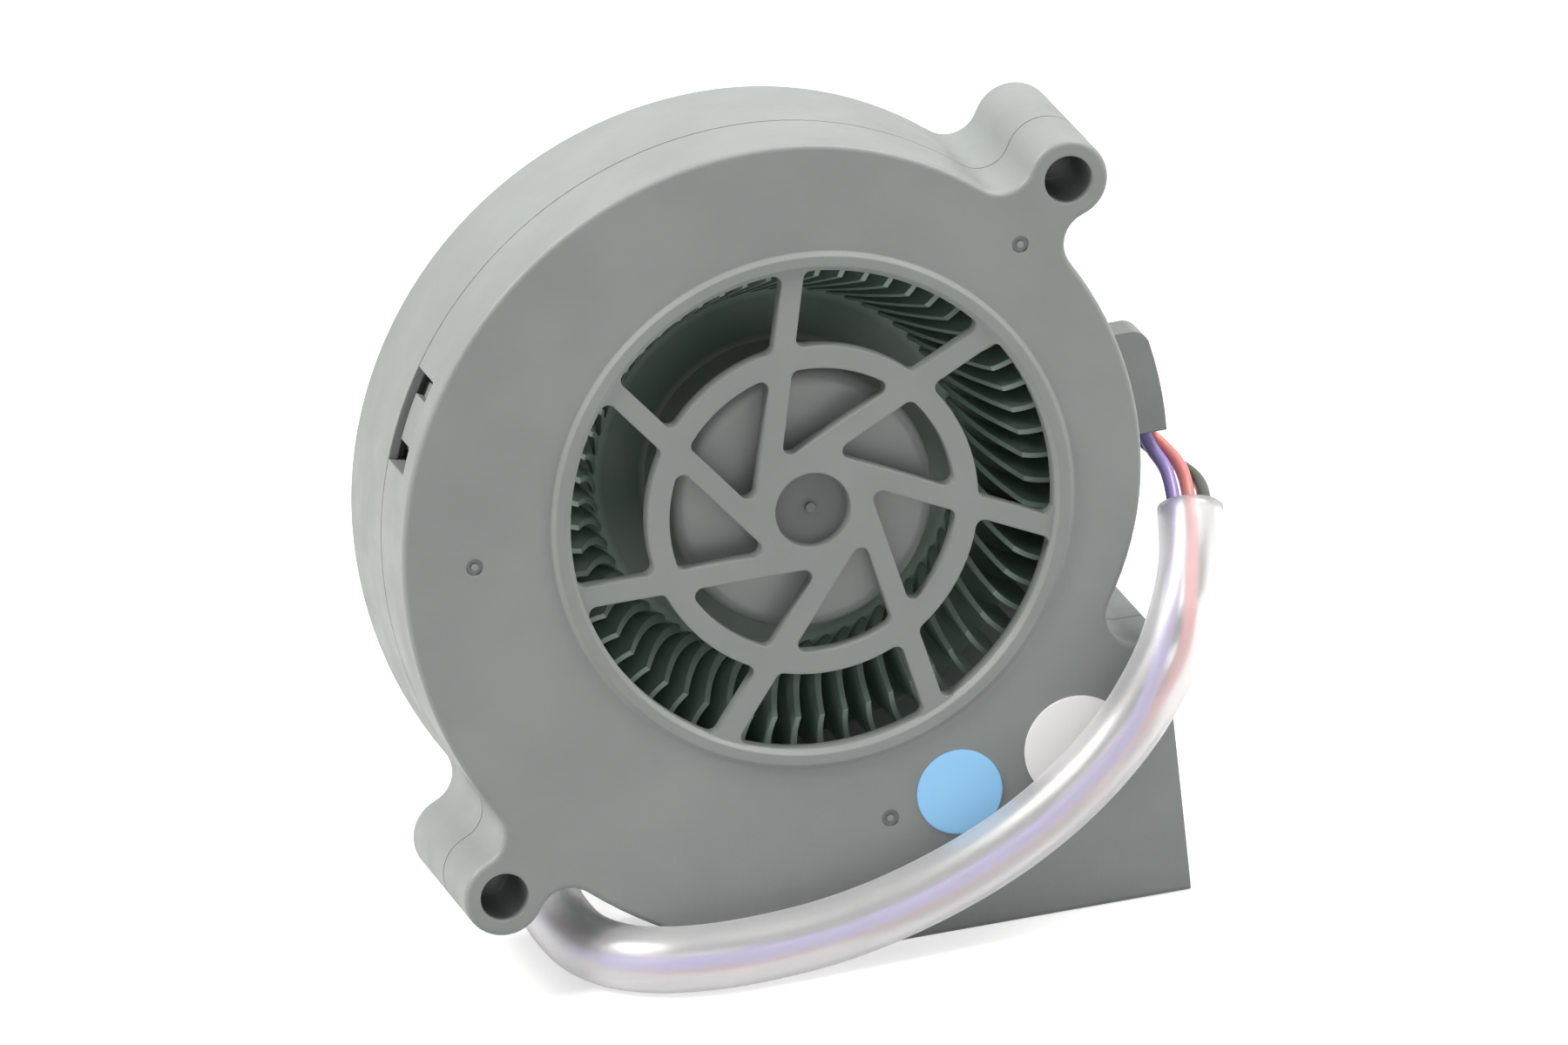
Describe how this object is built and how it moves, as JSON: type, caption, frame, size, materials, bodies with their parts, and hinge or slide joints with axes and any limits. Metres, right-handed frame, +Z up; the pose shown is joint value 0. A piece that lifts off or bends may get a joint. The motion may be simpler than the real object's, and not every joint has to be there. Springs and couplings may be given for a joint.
{
  "type": "centrifugal cooling blower",
  "caption": "Flat centrifugal blower with a spiral housing, spoked inlet grille, side outlet, screw lugs, forward-curved wheel on a brushless motor and a sleeved lead.",
  "frame": {"origin": "on the rotor's axis, at the housing's flat back face", "axes": "+Y out of the back face along the rotor's axis, so the inlet faces -Y; +X out of the outlet; +Z up, with the fan standing on the outlet's flat underside"},
  "size_m": [0.0787, 0.0566, 0.0786],
  "materials": {
    "housing_plastic": "satin moulded grey",
    "wheel_plastic": "satin moulded dark grey",
    "steel": "bare steel",
    "laminations": "stacked sheet edges",
    "ferrite": "dark bonded magnet",
    "brass": "turned",
    "copper": "enamelled wire",
    "white_nylon": "moulded nylon",
    "board_green": "solder mask",
    "chip_black": "moulded black",
    "chip_tan": "ceramic",
    "wire_violet": "satin insulation",
    "wire_red": "satin insulation",
    "wire_dark": "satin insulation",
    "sleeve_clear": "milky translucent tube",
    "paper_blue": "printed paper dot",
    "paper_white": "plain paper dot"
  },
  "bodies": {
    "housing": {"rear_housing": "housing_plastic", "front_cover": "housing_plastic", "bearing_tube": "brass", "front_bearing_outer": "steel", "rear_bearing_outer": "steel", "bearing_balls": "steel", "stator_core": "laminations", "front_insulator": "white_nylon", "rear_insulator": "white_nylon", "stator_windings": "copper", "terminal_pins": "brass", "circuit_board": "board_green", "driver_chip": "chip_black", "hall_sensor": "chip_black", "board_parts": "chip_tan", "lead_violet": "wire_violet", "lead_red": "wire_red", "lead_dark": "wire_dark", "wire_sleeve": "sleeve_clear", "connector_housing": "white_nylon", "connector_contacts": "brass", "blue_dot": "paper_blue", "white_dot": "paper_white"},
    "rotor": {"impeller": "wheel_plastic", "rotor_cup": "steel", "magnet_ring": "ferrite", "shaft": "steel", "retaining_clip": "steel", "preload_washer": "steel", "front_bearing_inner": "steel", "rear_bearing_inner": "steel"}
  },
  "joints": [
    {"name": "rotor_spin", "type": "hinge", "parent": "housing", "child": "rotor", "pos_m": [0, 0, 0], "axis": [0, -1, 0], "continuous": true}
  ]
}
